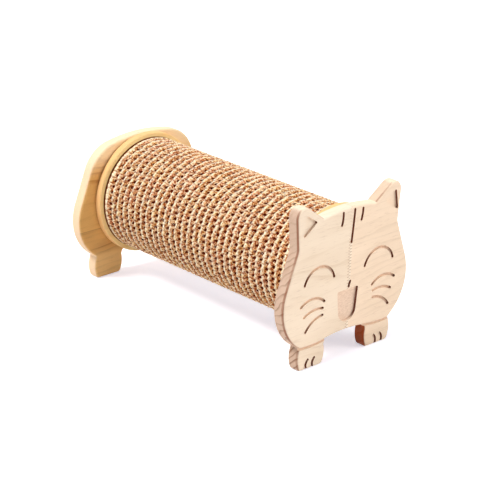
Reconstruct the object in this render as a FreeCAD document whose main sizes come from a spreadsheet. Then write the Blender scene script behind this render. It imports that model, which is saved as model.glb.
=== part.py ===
import FreeCAD, Part
import math
import os
from types import SimpleNamespace

import Sketcher
from FreeCAD import Placement, Rotation, Vector

# Cat scratcher: a sisal drum that turns on a steel axle between a cat-face panel and a plain rear panel.
# Millimetres. The drum's axis runs along Y, the face looks along -Y, the paws stand on z = 0.

# Driving dimensions, written once. Each becomes a cell of the sheet under the same name.
SIZES = {
    # Drum
    "drum_radius": 68.0,
    "drum_length": 306.0,
    "axis_height": 96.5,
    "mat_thickness": 6.0,
    "mat_seam": 0.6,
    "mat_end_gap": 2.0,
    "tube_wall": 5.0,
    "fit_gap": 0.05,
    # End discs and plugs
    "disc_rim": 5.0,
    "disc_thickness": 8.0,
    "disc_edge_round": 1.2,
    "plug_thickness": 15.0,
    "screw_circle_radius": 30.0,
    "screw_radius": 1.75,
    "screw_head_radius": 3.5,
    "screw_head_height": 2.4,
    "screw_length": 19.0,
    # Axle, bushes and fasteners
    "axle_radius": 6.0,
    "axle_clearance": 0.05,
    "bush_wall": 2.0,
    "bush_flange_radius": 11.0,
    "bush_flange_thickness": 2.0,
    "bush_flange_proud": 1.0,
    "end_play": 0.3,
    "stud_radius": 4.0,
    "stud_spare": 1.0,
    "insert_wall": 2.0,
    "insert_length": 10.0,
    "insert_flange_radius": 8.0,
    "insert_flange_thickness": 1.2,
    "drill_spare": 0.5,
    "bolt_radius": 3.0,
    "bolt_length": 34.0,
    "bolt_head_radius": 8.5,
    "bolt_head_thickness": 2.5,
    "bolt_socket_width": 4.0,
    "bolt_socket_depth": 1.8,
    "bolt_hole_play": 0.3,
    # Panels: what both boards share
    "panel_thickness": 15.0,
    "edge_round": 3.0,
    "face_half_width": 96.0,
    "cheek_radius": 57.0,
    "cheek_height": 76.0,
    "paw_outer": 72.0,
    "paw_inner": 30.0,
    "paw_bulge_radius": 31.0,
    "paw_widest_height": 15.0,
    "belly_height": 30.5,
    "belly_arch_radius": 200.0,
    "neck_radius": 3.0,
    "sole_radius": 5.0,
    "belly_radius": 6.0,
    # Front panel's crown and ears
    "crown_height": 172.0,
    "ear_rise": 14.5,
    "ear_half_width": 79.5,
    "ear_tip_radius": 11.0,
    "valley_drop": 3.7,
    "valley_half_width": 39.2,
    "valley_radius": 2.5,
    "waist_half_width": 76.5,
    "waist_radius": 14.0,
    # Rear panel's top
    "rear_crown_drop": 3.5,
    "shoulder_drop": 11.5,
    "shoulder_half_width": 70.0,
    "shoulder_radius": 45.0,
    # Engraving
    "stroke_width": 3.2,
    "engraving_depth": 2.8,
    "cutter_radius": 1.6,
    "mouth_round": 13.6,
    "drawing_shift": 2.4,
}

# Engraved lines as shares: across of face_half_width, up of the ears' height.
# Each line runs from its first point through its middle point to its last one.
FACE_LINE_SHARES = (
    ((0.244, 0.527), (0.475, 0.616), (0.705, 0.527)),
    ((0.383, 0.394), (0.567, 0.432), (0.749, 0.401)),
    ((0.405, 0.354), (0.535, 0.360), (0.694, 0.333)),
    ((0.404, 0.311), (0.545, 0.292), (0.667, 0.236)),
)
PAW_LINE_SHARES = (
    ((0.300, 0.153), (0.531, 0.141), (0.765, 0.147)),
    ((0.482, 0.060), (0.511, 0.037), (0.501, 0.000)),
    ((0.583, 0.060), (0.613, 0.037), (0.599, 0.000)),
)
MIDDLE_LINE_SHARES = (
    ((-0.117, 0.900), (-0.118, 0.863), (-0.134, 0.826)),
    ((0.067, 0.902), (0.052, 0.804), (0.032, 0.706)),
    ((0.198, 0.895), (0.192, 0.861), (0.177, 0.826)),
    ((0.043, 0.464), (0.030, 0.449), (0.023, 0.432)),
)
# Sunk areas, by the centres of their rounded corners. Those of an ear are across of ear_half_width.
EAR_POCKET_SHARES = ((0.843, 0.938), (0.885, 0.834), (0.690, 0.895))
MOUTH_CORNER_SHARES = (0.148, 0.411)
MOUTH_FOOT_SHARE = 0.292
# The waist under an ear, as a share of the way up from the cheek's height to the crown's.
WAIST_SHARE = 0.6615
SHARE_DIGITS = 6
DISC_SCREWS = 3
HALF_TURN = 180.0
FULL_TURN = 360.0
NEARLY_ZERO = 1e-6
SAME_PLACE = 1e-3

doc = FreeCAD.newDocument("cat_scratcher")
sheet = doc.addObject("Spreadsheet::Sheet", "Sizes")


class Tied:
    """A length worked out from the sheet: its value now and the formula that ties it to the cells."""

    def __init__(self, value, formula):
        self.value = value
        self.formula = formula

    def joined(self, sign, other, value):
        formula = other.formula if isinstance(other, Tied) else repr(other)
        return Tied(value, f"({self.formula} {sign} {formula})")

    def __float__(self):
        return float(self.value)

    def __add__(self, other):
        return self.joined("+", other, float(self) + float(other))

    def __sub__(self, other):
        return self.joined("-", other, float(self) - float(other))

    def __mul__(self, other):
        return self.joined("*", other, float(self) * float(other))

    def __truediv__(self, other):
        return self.joined("/", other, float(self) / float(other))

    def __neg__(self):
        return Tied(-float(self), f"(-{self.formula})")


def fill_sheet():
    """Writes the driving dimensions to the sheet and returns them by name."""
    for row, (name, number) in enumerate(SIZES.items(), start=1):
        sheet.set(f"A{row}", name)
        sheet.set(f"B{row}", str(number))
        sheet.setAlias(f"B{row}", name)
    doc.recompute()
    return SimpleNamespace(**{name: Tied(float(sheet.get(name)), f"Sizes.{name}") for name in SIZES})


S = fill_sheet()
ZERO = Tied(0.0, "0")

# Places that several pieces share
TUBE_RADIUS = S.drum_radius - S.mat_thickness
TUBE_BORE = TUBE_RADIUS - S.tube_wall
DISC_RADIUS = S.drum_radius + S.disc_rim
BUSH_RADIUS = S.axle_radius + S.bush_wall
BUSH_HOLE = BUSH_RADIUS + S.fit_gap
RUNNING_GAP = S.bush_flange_proud + S.end_play
HALF_SPAN = S.drum_length / 2 + S.disc_thickness + RUNNING_GAP
HALF_LENGTH = HALF_SPAN + S.panel_thickness
INSERT_RADIUS = S.stud_radius + S.insert_wall
EAR_HEIGHT = S.crown_height + S.ear_rise
VALLEY_HEIGHT = S.crown_height - S.valley_drop
WAIST_HEIGHT = S.cheek_height + (S.crown_height - S.cheek_height) * WAIST_SHARE
REAR_CROWN_HEIGHT = S.crown_height - S.rear_crown_drop
SHOULDER_HEIGHT = REAR_CROWN_HEIGHT - S.shoulder_drop
STROKE_RADIUS = S.stroke_width / 2


class Edge:
    """One stretch of an outline from first to last: straight, or an arc round centre."""

    def __init__(self, first, last, centre=None, radius=None, clockwise=True, smooth=""):
        self.first = first
        self.last = last
        self.centre = centre
        self.radius = radius
        self.clockwise = clockwise
        self.smooth = smooth
        self.pins = []

    def pin(self, end, across, up):
        """Ties the first point, the last point or the centre to two lengths; None leaves one free."""
        self.pins.append((end, across, up))
        return self

    def mirrored(self):
        """The same stretch on the other side, run the other way."""
        def flip(spot):
            return Vector(-spot.x, spot.y, 0) if spot else None
        swap = {"first": "last", "last": "first", "centre": "centre", "both": "both", "": ""}
        other = Edge(flip(self.last), flip(self.first), flip(self.centre), self.radius, self.clockwise,
                     swap[self.smooth])
        other.pins = [(swap[end], across and -across, up) for end, across, up in self.pins]
        return other

    def draw(self, sketch):
        """Adds the curve and notes the numbers of its ends."""
        self.ends = {"first": 1, "last": 2, "centre": 3}
        if self.centre is None:
            self.index = sketch.addGeometry(Part.LineSegment(self.first, self.last))
            return
        angles = [heading(self.centre, end) for end in (self.first, self.last)]
        if self.clockwise:
            angles.reverse()
            self.ends.update(first=2, last=1)
        self.index = add_arc(sketch, self.centre, (self.first - self.centre).Length, *angles)


def point(across, up):
    return Vector(float(across), float(up), 0)


def heading(start, end):
    return math.atan2(end.y - start.y, end.x - start.x)


def add_arc(sketch, centre, radius, start, end, construction=False):
    """An arc that runs anticlockwise from one angle to the other."""
    circle = Part.Circle(centre, Vector(0, 0, 1), radius)
    return sketch.addGeometry(Part.ArcOfCircle(circle, start, end), construction)


def bind(item, prop, tied):
    item.setExpression(prop, tied.formula)


def tie(sketch, kind, tied, *ends):
    """Adds a dimension and ties it to its formula."""
    number = sketch.addConstraint(Sketcher.Constraint(kind, *ends, float(tied)))
    bind(sketch, f"Constraints[{number}]", tied)


def link(sketch, kind, *ends):
    """Adds a constraint that has no dimension."""
    sketch.addConstraint(Sketcher.Constraint(kind, *ends))


def pin_point(sketch, index, end, across, up):
    """Ties a point to the sketch's origin; a coordinate of zero puts it on that axis."""
    for kind, axis, tied in (("DistanceX", -2, across), ("DistanceY", -1, up)):
        if tied is None:
            continue
        if abs(float(tied)) < NEARLY_ZERO:
            link(sketch, "PointOnObject", index, end, axis)
        elif float(tied) > 0:
            tie(sketch, kind, tied, -1, 1, index, end)
        else:
            tie(sketch, kind, -tied, index, end, -1, 1)


def draw_outline(sketch, edges):
    """Draws a closed outline, joins its edges end to end and ties its pinned points and radii."""
    for edge in edges:
        edge.draw(sketch)
    for edge, after in zip(edges, edges[1:] + edges[:1]):
        smooth = edge.smooth in ("last", "both") or after.smooth in ("first", "both")
        link(sketch, "Tangent" if smooth else "Coincident",
             edge.index, edge.ends["last"], after.index, after.ends["first"])
    for edge in edges:
        for end, across, up in edge.pins:
            pin_point(sketch, edge.index, edge.ends[end], across, up)
        if edge.radius:
            tie(sketch, "Radius", edge.radius, edge.index)


def polygon_edges(points):
    """Straight edges through points that are each tied across and up."""
    return [Edge(point(*start), point(*end)).pin("first", *start)
            for start, end in zip(points, points[1:] + points[:1])]


def belt_edges(pegs):
    """A closed belt, run clockwise round pegs that are each a centre across, a centre up and a radius."""
    touches = []
    for (x_from, y_from, r_from), (x_to, y_to, r_to) in zip(pegs, pegs[1:] + pegs[:1]):
        run = point(x_to, y_to) - point(x_from, y_from)
        lean = math.asin((float(r_from) - float(r_to)) / run.Length)
        along = run.normalize()
        outward = Vector(-along.y, along.x, 0) * math.cos(lean) + along * math.sin(lean)
        touches.append((point(x_from, y_from) + outward * float(r_from),
                        point(x_to, y_to) + outward * float(r_to)))
    edges = []
    for (across, up, radius), before, after in zip(pegs, touches[-1:] + touches[:-1], touches):
        bend = Edge(before[1], after[0], point(across, up), radius, smooth="both")
        edges.append(bend.pin("centre", across, up))
        edges.append(Edge(after[0], after[1]))
    return edges


def draw_stroke(sketch, spots):
    """A round-ended slot of the stroke's width along the arc through three tied points."""
    first, middle, last = (point(*spot) for spot in spots)
    if (middle - first).cross(last - middle).z < 0:
        spots = spots[::-1]
        first, last = last, first
    circle = Part.Circle(first, middle, last)
    centre, radius, half = circle.Center, circle.Radius, float(STROKE_RADIUS)
    start = heading(centre, first)
    end = heading(centre, last)
    if end < start:
        end += 2 * math.pi
    line = add_arc(sketch, centre, radius, start, end, True)
    crest = sketch.addGeometry(Part.Point(middle), True)
    outer = add_arc(sketch, centre, radius + half, start, end)
    inner = add_arc(sketch, centre, radius - half, start, end)
    end_cap = add_arc(sketch, last, half, end, end + math.pi)
    start_cap = add_arc(sketch, first, half, start + math.pi, start + 2 * math.pi)
    pin_point(sketch, line, 1, *spots[0])
    pin_point(sketch, line, 2, *spots[2])
    pin_point(sketch, crest, 1, *spots[1])
    link(sketch, "PointOnObject", crest, 1, line)
    link(sketch, "Coincident", outer, 3, line, 3)
    link(sketch, "Coincident", inner, 3, line, 3)
    link(sketch, "Tangent", outer, 2, end_cap, 1)
    link(sketch, "Tangent", end_cap, 2, inner, 2)
    link(sketch, "Tangent", inner, 1, start_cap, 1)
    link(sketch, "Tangent", start_cap, 2, outer, 1)
    link(sketch, "Coincident", end_cap, 3, line, 2)
    tie(sketch, "Radius", STROKE_RADIUS, end_cap)
    across, up = spots[0]
    if abs(math.sin(start)) > abs(math.cos(start)):
        pin_point(sketch, start_cap, 3, across, None)
    else:
        pin_point(sketch, start_cap, 3, None, up)


def tangent_touch(spot, centre, radius, side):
    """Where a line from spot touches a circle, on the left (1) or right (-1) as seen from spot."""
    run = centre - spot
    angle = heading(spot, centre) + side * math.asin(radius / run.Length)
    reach = math.sqrt(run.Length ** 2 - radius ** 2)
    return spot + Vector(math.cos(angle), math.sin(angle), 0) * reach


def circles_meet(centre, radius, other, other_radius):
    """The crossing of two circles on the left of the line from the first centre to the second."""
    run = other - centre
    along = (radius ** 2 - other_radius ** 2 + run.Length ** 2) / (2 * run.Length)
    off = math.sqrt(radius ** 2 - along ** 2)
    unit = run.normalize()
    return centre + unit * along + Vector(-unit.y, unit.x, 0) * off


def origin_feature(body, role):
    return next(feature for feature in body.Origin.OriginFeatures if feature.Role == role)


def new_body(name):
    body = doc.addObject("PartDesign::Body", name)
    body.Label = name
    return body


def new_sketch(body, name, role, lift=None):
    """A sketch on one of the body's own planes, lifted along the plane's normal."""
    sketch = body.newObject("Sketcher::SketchObject", name)
    sketch.AttachmentSupport = [(origin_feature(body, role), "")]
    sketch.MapMode = "FlatFace"
    if lift:
        bind(sketch, "AttachmentOffset.Base.z", lift)
    return sketch


def set_down(body, along, height, turned=False):
    """Places a body along the drum's axis, facing the other way if it is turned."""
    spin = Rotation(Vector(0, 0, 1), HALF_TURN if turned else 0)
    body.Placement = Placement(Vector(0, float(along), float(height)), spin)
    bind(body, "Placement.Base.y", along)
    bind(body, "Placement.Base.z", height)


def add_turn(body, points, angle=None, axis="V_Axis"):
    """Turns a profile of (radius, place along the axis) points, a full turn unless an angle is given."""
    sketch = new_sketch(body, f"{body.Name}_profile", "XY_Plane")
    draw_outline(sketch, polygon_edges(points))
    doc.recompute()
    turn = body.newObject("PartDesign::Revolution", f"{body.Name}_turn")
    turn.Profile = sketch
    turn.ReferenceAxis = (sketch, [axis])
    turn.Angle = FULL_TURN
    if angle:
        bind(turn, "Angle", angle)
    doc.recompute()
    return turn


def turned_body(name, points, angle=None):
    body = new_body(name)
    add_turn(body, points, angle)
    return body


def cut_into(body, sketch, depth, backwards=False):
    """Sinks a sketch into a body and makes sure that it took material away."""
    before = body.Shape.Volume
    pocket = body.newObject("PartDesign::Pocket", f"{sketch.Name}_cut")
    pocket.Profile = sketch
    pocket.Reversed = backwards
    bind(pocket, "Length", depth)
    doc.recompute()
    if not body.Shape.Volume < before:
        raise RuntimeError(f"{sketch.Name} cuts nothing")


def bore_holes(body, name, spots, radius, depth, lift=None, backwards=False):
    """Round holes of one radius and depth, square to the body's XZ plane."""
    sketch = new_sketch(body, name, "XZ_Plane", lift)
    for across, up in spots:
        index = sketch.addGeometry(Part.Circle(point(across, up), Vector(0, 0, 1), float(radius)))
        pin_point(sketch, index, 3, across, up)
        tie(sketch, "Radius", radius, index)
    doc.recompute()
    cut_into(body, sketch, depth, backwards)


def round_edges(body, name, picked, radius):
    """Rounds the picked edges of the body's last feature."""
    base = body.Tip
    names = [f"Edge{number}" for number, edge in enumerate(base.Shape.Edges, start=1) if picked(edge)]
    fillet = body.newObject("PartDesign::Fillet", name)
    fillet.Base = (base, names)
    bind(fillet, "Radius", radius)
    doc.recompute()


def crosswise_at(spots):
    """Picks edges that run through the board at these places on the right, or at their mirror images."""
    def picked(edge):
        box = edge.BoundBox
        if max(box.XLength, box.ZLength) > SAME_PLACE:
            return False
        return any(abs(abs(box.XMin) - spot.x) < SAME_PLACE and abs(box.ZMin - spot.y) < SAME_PLACE
                   for spot in spots)
    return picked


def lies_in_a_face(edge):
    """Picks edges that lie in one of a board's two faces."""
    return edge.BoundBox.YLength < SAME_PLACE


def lower_half(slope_across, slope_up):
    """What both panels share: the slope from a point of the top down to the cheek, the cheek and the paw
    on the right, the belly's arch, and their sharp corners."""
    cheek_x = S.face_half_width - S.cheek_radius
    outer_x = S.paw_outer - S.paw_bulge_radius
    inner_x = S.paw_inner + S.paw_bulge_radius
    arch_z = S.belly_height - S.belly_arch_radius
    cheek = point(cheek_x, S.cheek_height)
    outer = point(outer_x, S.paw_widest_height)
    inner = point(inner_x, S.paw_widest_height)
    arch = point(ZERO, arch_z)
    start = point(slope_across, slope_up)
    touch = tangent_touch(start, cheek, float(S.cheek_radius), 1)
    bulge = float(S.paw_bulge_radius)
    reach = math.sqrt(bulge ** 2 - float(S.paw_widest_height) ** 2)
    neck = circles_meet(cheek, float(S.cheek_radius), outer, bulge)
    crotch = circles_meet(arch, float(S.belly_arch_radius), inner, bulge)
    sole_out = Vector(outer.x + reach, 0, 0)
    sole_in = Vector(inner.x - reach, 0, 0)
    edges = [
        Edge(start, touch, smooth="last").pin("first", slope_across, slope_up),
        Edge(touch, neck, cheek, S.cheek_radius).pin("centre", cheek_x, S.cheek_height),
        Edge(neck, sole_out, outer, S.paw_bulge_radius).pin("centre", outer_x, S.paw_widest_height),
        Edge(sole_out, sole_in).pin("first", None, ZERO).pin("last", None, ZERO),
        Edge(sole_in, crotch, inner, S.paw_bulge_radius).pin("centre", inner_x, S.paw_widest_height),
    ]
    belly = Edge(crotch, Vector(-crotch.x, crotch.y, 0), arch, S.belly_arch_radius, clockwise=False)
    belly.pin("centre", ZERO, arch_z)
    corners = {"neck": [neck], "sole": [sole_out, sole_in], "belly": [crotch]}
    return edges, belly, corners


def crown_edge(half_width, height, top):
    """The arc over the head, from the left end to the right end, with its top at the given height."""
    rise = top - height
    centre_z = top - (half_width * half_width + rise * rise) / (rise * 2)
    crown = Edge(point(-half_width, height), point(half_width, height), point(ZERO, centre_z))
    return crown.pin("centre", None, centre_z)


def ear_edges():
    """The right ear, from the valley beside the crown over the tip to the waist under the ear."""
    tip_x = S.ear_half_width - S.ear_tip_radius
    tip_z = EAR_HEIGHT - S.ear_tip_radius
    tip = point(tip_x, tip_z)
    valley = point(S.valley_half_width, VALLEY_HEIGHT)
    waist = point(S.waist_half_width, WAIST_HEIGHT)
    rise = tangent_touch(valley, tip, float(S.ear_tip_radius), 1)
    fall = tangent_touch(waist, tip, float(S.ear_tip_radius), -1)
    return [
        Edge(valley, rise).pin("first", S.valley_half_width, VALLEY_HEIGHT),
        Edge(rise, fall, tip, S.ear_tip_radius, smooth="both").pin("centre", tip_x, tip_z),
        Edge(fall, waist),
    ]


def panel_body(name, crown, top_edges, slope_across, slope_up, top_corners):
    """A board with rounded edges; its side slopes from the given point down to the cheek."""
    body = new_body(name)
    lower, belly, corners = lower_half(slope_across, slope_up)
    half = top_edges + lower
    sketch = new_sketch(body, f"{name}_outline", "XZ_Plane")
    draw_outline(sketch, half + [belly] + [edge.mirrored() for edge in reversed(half)] + [crown])
    doc.recompute()
    board = body.newObject("PartDesign::Pad", f"{name}_board")
    board.Profile = sketch
    board.Reversed = True
    bind(board, "Length", S.panel_thickness)
    doc.recompute()
    for corner, spots in (corners | top_corners).items():
        round_edges(body, f"{name}_{corner}", crosswise_at(spots), getattr(S, f"{corner}_radius"))
    round_edges(body, f"{name}_round", lies_in_a_face, S.edge_round)
    return body


def on_face(shares, side=1, shift=ZERO, half_width=S.face_half_width):
    """A place on the face from its shares, on the right or, with side -1, mirrored to the left."""
    across, up = shares
    return half_width * (side * across) + shift, EAR_HEIGHT * up


def engrave(body):
    """The face: lines cut by a round-nosed cutter, and the sunk ears and mouth."""
    eyes = new_sketch(body, "eyes_and_whiskers", "XZ_Plane")
    paws = new_sketch(body, "paw_lines", "XZ_Plane")
    sunk = new_sketch(body, "ears_and_mouth", "XZ_Plane")
    for side in (1, -1):
        for line in FACE_LINE_SHARES:
            draw_stroke(eyes, [on_face(shares, side, S.drawing_shift) for shares in line])
        for line in PAW_LINE_SHARES:
            draw_stroke(paws, [on_face(shares, side) for shares in line])
        ear = [on_face(shares, side, S.drawing_shift, S.ear_half_width) for shares in EAR_POCKET_SHARES]
        draw_outline(sunk, belt_edges([corner + (S.cutter_radius,) for corner in ear[::side]]))
    middle = new_sketch(body, "stripes_and_nose", "XZ_Plane")
    for line in MIDDLE_LINE_SHARES:
        draw_stroke(middle, [on_face(shares) for shares in line])
    foot = S.drawing_shift / 2, EAR_HEIGHT * MOUTH_FOOT_SHARE, S.mouth_round
    left, right = (on_face(MOUTH_CORNER_SHARES, side, S.drawing_shift / 2) for side in (-1, 1))
    draw_outline(sunk, belt_edges([left + (S.cutter_radius,), right + (S.cutter_radius,), foot]))
    doc.recompute()
    for sketch in (eyes, paws, sunk, middle):
        cut_into(body, sketch, S.engraving_depth)


def front_panel():
    valley = point(S.valley_half_width, VALLEY_HEIGHT)
    waist = point(S.waist_half_width, WAIST_HEIGHT)
    crown = crown_edge(S.valley_half_width, VALLEY_HEIGHT, S.crown_height)
    body = panel_body("front_panel", crown, ear_edges(), S.waist_half_width, WAIST_HEIGHT,
                      {"valley": [valley], "waist": [waist]})
    engrave(body)
    axis = [(ZERO, S.axis_height)]
    back = -S.panel_thickness
    bore_holes(body, "insert_seat", axis, S.insert_flange_radius + S.fit_gap, S.insert_flange_thickness,
               back, True)
    bore_holes(body, "insert_hole", axis, INSERT_RADIUS + S.fit_gap, S.insert_length + S.drill_spare,
               back, True)
    set_down(body, -HALF_LENGTH, ZERO)


def rear_panel():
    shoulder = point(S.shoulder_half_width, SHOULDER_HEIGHT)
    crown = crown_edge(S.shoulder_half_width, SHOULDER_HEIGHT, REAR_CROWN_HEIGHT)
    body = panel_body("rear_panel", crown, [], S.shoulder_half_width, SHOULDER_HEIGHT,
                      {"shoulder": [shoulder]})
    axis = [(ZERO, S.axis_height)]
    bore_holes(body, "bolt_seat", axis, S.bolt_head_radius + S.bolt_hole_play, S.bolt_head_thickness)
    bore_holes(body, "bolt_hole", axis, S.bolt_radius + S.bolt_hole_play, S.panel_thickness)
    set_down(body, HALF_LENGTH, ZERO, True)


def axle():
    """A rod that both panels close on, with a stud at the front and a tapped hole at the rear."""
    tap = S.bolt_radius + S.fit_gap
    tap_end = HALF_SPAN + S.panel_thickness - S.bolt_length - S.drill_spare
    stud_end = -HALF_SPAN - S.insert_length + S.stud_spare
    body = turned_body("axle", [
        (ZERO, stud_end), (S.stud_radius, stud_end), (S.stud_radius, -HALF_SPAN),
        (S.axle_radius, -HALF_SPAN), (S.axle_radius, HALF_SPAN), (tap, HALF_SPAN),
        (tap, tap_end), (ZERO, tap_end)])
    set_down(body, ZERO, S.axis_height)


def front_insert():
    """The threaded insert that the axle's stud screws into, let in flush from behind the face."""
    bore = S.stud_radius + S.fit_gap
    body = turned_body("front_insert", [
        (bore, ZERO), (S.insert_flange_radius, ZERO), (S.insert_flange_radius, S.insert_flange_thickness),
        (INSERT_RADIUS, S.insert_flange_thickness), (INSERT_RADIUS, S.insert_length),
        (bore, S.insert_length)])
    set_down(body, -HALF_SPAN, S.axis_height, True)


def rear_bolt():
    """A flat-headed furniture bolt with a hexagon socket, its head flush with the rear board."""
    body = turned_body("rear_bolt", [
        (ZERO, ZERO), (S.bolt_head_radius, ZERO), (S.bolt_head_radius, S.bolt_head_thickness),
        (S.bolt_radius, S.bolt_head_thickness), (S.bolt_radius, S.bolt_length), (ZERO, S.bolt_length)])
    socket = new_sketch(body, "bolt_socket", "XZ_Plane")
    corner = S.bolt_socket_width / math.sqrt(3)
    draw_outline(socket, polygon_edges([
        (corner * round(math.cos(step * math.pi / 3), SHARE_DIGITS),
         corner * round(math.sin(step * math.pi / 3), SHARE_DIGITS)) for step in range(6)]))
    doc.recompute()
    cut_into(body, socket, S.bolt_socket_depth)
    set_down(body, HALF_LENGTH, S.axis_height, True)


def core_tube():
    half = S.drum_length / 2
    body = turned_body("core_tube", [
        (TUBE_BORE, -half), (TUBE_RADIUS, -half), (TUBE_RADIUS, half), (TUBE_BORE, half)])
    set_down(body, ZERO, S.axis_height)


def sisal_mat():
    """The scratching mat, a sheet rolled round the tube, whose ends butt at a narrow seam."""
    half = S.drum_length / 2 - S.mat_end_gap
    inside = TUBE_RADIUS + S.fit_gap
    wrap = -(S.mat_seam / S.drum_radius) * (HALF_TURN / math.pi) + FULL_TURN
    body = turned_body("sisal_mat", [
        (inside, -half), (S.drum_radius, -half), (S.drum_radius, half), (inside, half)], wrap)
    set_down(body, ZERO, S.axis_height)


def screw_spots():
    """The screws' places round the axis, in the boards' XZ plane."""
    turns = [2 * math.pi * number / DISC_SCREWS for number in range(DISC_SCREWS)]
    return [(S.screw_circle_radius * round(math.cos(turn), SHARE_DIGITS),
             S.screw_circle_radius * round(math.sin(turn), SHARE_DIGITS)) for turn in turns]


def end_disc(name):
    body = turned_body(name, [
        (BUSH_HOLE, ZERO), (DISC_RADIUS, ZERO), (DISC_RADIUS, S.disc_thickness),
        (BUSH_HOLE, S.disc_thickness)])
    round_edges(body, f"{name}_round", lambda edge: edge.BoundBox.XLength > float(S.drum_radius) * 2,
                S.disc_edge_round)
    flange_depth = S.bush_flange_thickness - S.bush_flange_proud
    bore_holes(body, f"{name}_bush_seat", [(ZERO, ZERO)], S.bush_flange_radius + S.fit_gap, flange_depth)
    bore_holes(body, f"{name}_screw_seats", screw_spots(), S.screw_head_radius + S.fit_gap,
               S.screw_head_height)
    bore_holes(body, f"{name}_screw_holes", screw_spots(), S.screw_radius + S.fit_gap, S.disc_thickness)
    return body


def end_plug(name):
    rim = TUBE_BORE - S.fit_gap
    inner = S.disc_thickness + S.plug_thickness
    body = turned_body(name, [
        (BUSH_HOLE, S.disc_thickness), (rim, S.disc_thickness), (rim, inner), (BUSH_HOLE, inner)])
    depth = S.screw_length - S.disc_thickness + S.drill_spare
    bore_holes(body, f"{name}_screw_holes", screw_spots(), S.screw_radius + S.fit_gap, depth,
               -S.disc_thickness)
    return body


def end_bush(name):
    bore = S.axle_radius + S.axle_clearance
    face = -S.bush_flange_proud
    under = face + S.bush_flange_thickness
    inner = S.disc_thickness + S.plug_thickness
    return turned_body(name, [
        (bore, face), (S.bush_flange_radius, face), (S.bush_flange_radius, under), (BUSH_RADIUS, under),
        (BUSH_RADIUS, inner), (bore, inner)])


def disc_screws(name):
    """The screws that hold a disc to its plug, as one set."""
    body = new_body(name)
    body.AllowCompound = True
    line = S.screw_circle_radius
    turn = add_turn(body, [
        (line, ZERO), (line + S.screw_head_radius, ZERO), (line + S.screw_head_radius, S.screw_head_height),
        (line + S.screw_radius, S.screw_head_height), (line + S.screw_radius, S.screw_length),
        (line, S.screw_length)], axis="Edge6")
    ring = body.newObject("PartDesign::PolarPattern", f"{name}_ring")
    ring.Originals = [turn]
    ring.Axis = (origin_feature(body, "Y_Axis"), [""])
    ring.Angle = FULL_TURN
    ring.Occurrences = DISC_SCREWS
    body.Tip = ring
    doc.recompute()
    return body


def drum_ends():
    """The same four pieces at each end of the drum, facing outwards."""
    place = HALF_SPAN - RUNNING_GAP
    for end, along, turned in (("front", -place, False), ("rear", place, True)):
        for body in (end_disc(f"{end}_disc"), end_plug(f"{end}_plug"), end_bush(f"{end}_bush"),
                     disc_screws(f"{end}_disc_screws")):
            set_down(body, along, S.axis_height, turned)


def check_and_write():
    """Stops if anything failed, then writes each piece to its own file."""
    doc.recompute()
    failed = [item.Label for item in doc.Objects if {"Invalid", "Error"} & set(item.State)]
    bodies = [item for item in doc.Objects if item.TypeId == "PartDesign::Body"]
    failed += [body.Label for body in bodies if body.Shape.isNull() or not body.Shape.isValid()]
    if failed:
        raise RuntimeError(f"these did not build: {failed}")
    os.makedirs("parts", exist_ok=True)
    for body in bodies:
        body.Shape.exportStep(f"parts/{body.Label}.step")


front_panel()
rear_panel()
axle()
front_insert()
rear_bolt()
core_tube()
sisal_mat()
drum_ends()
check_and_write()
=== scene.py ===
import math

import bpy
import numpy as np
from mathutils import Matrix, Vector


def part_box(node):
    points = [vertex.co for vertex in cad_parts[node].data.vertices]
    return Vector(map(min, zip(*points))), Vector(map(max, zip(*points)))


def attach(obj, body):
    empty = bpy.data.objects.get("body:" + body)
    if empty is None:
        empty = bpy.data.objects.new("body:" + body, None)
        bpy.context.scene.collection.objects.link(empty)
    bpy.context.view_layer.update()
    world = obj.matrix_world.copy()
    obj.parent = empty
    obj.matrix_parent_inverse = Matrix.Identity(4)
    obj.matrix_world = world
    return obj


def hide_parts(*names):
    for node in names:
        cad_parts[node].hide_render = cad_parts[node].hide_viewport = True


# Cat scratcher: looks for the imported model. Metres, in the model's own frame:
# the drum's axis runs along Y, the cat's face looks along -Y, the paws stand on z = 0.
# A pair of lengths named for a fade gives where an effect begins and where it is full.

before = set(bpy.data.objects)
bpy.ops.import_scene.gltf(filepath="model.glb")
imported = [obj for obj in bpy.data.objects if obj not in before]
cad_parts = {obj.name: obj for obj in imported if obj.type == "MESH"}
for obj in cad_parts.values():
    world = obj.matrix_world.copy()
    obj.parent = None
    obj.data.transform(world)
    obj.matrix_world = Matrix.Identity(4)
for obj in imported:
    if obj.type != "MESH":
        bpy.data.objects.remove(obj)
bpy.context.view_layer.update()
MM = 0.001

# Places read from the frame
FACE_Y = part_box("front_panel")[0][1]
MAT_LOW, MAT_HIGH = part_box("sisal_mat")
TUBE_LOW, TUBE_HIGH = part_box("core_tube")
AXIS_Z = (TUBE_LOW[2] + TUBE_HIGH[2]) / 2
MAT_RADIUS = -MAT_LOW[0]
TUBE_RADIUS = (TUBE_HIGH[0] - TUBE_LOW[0]) / 2
MAT_LENGTH = MAT_HIGH[1] - MAT_LOW[1]

# Weave of the mat: thick yarns lie along the drum. Each swells into a puff in every row and dips at the
# bindings between two rows. There its middle sinks into a hole, painted dark as shade, and its sides bridge
# to the next yarn.
YARNS = 60
ROWS = 30
ROW_PITCH = MAT_LENGTH / ROWS
YARN_SIDES = 6
YARN_WRAP = math.radians(118)

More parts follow.
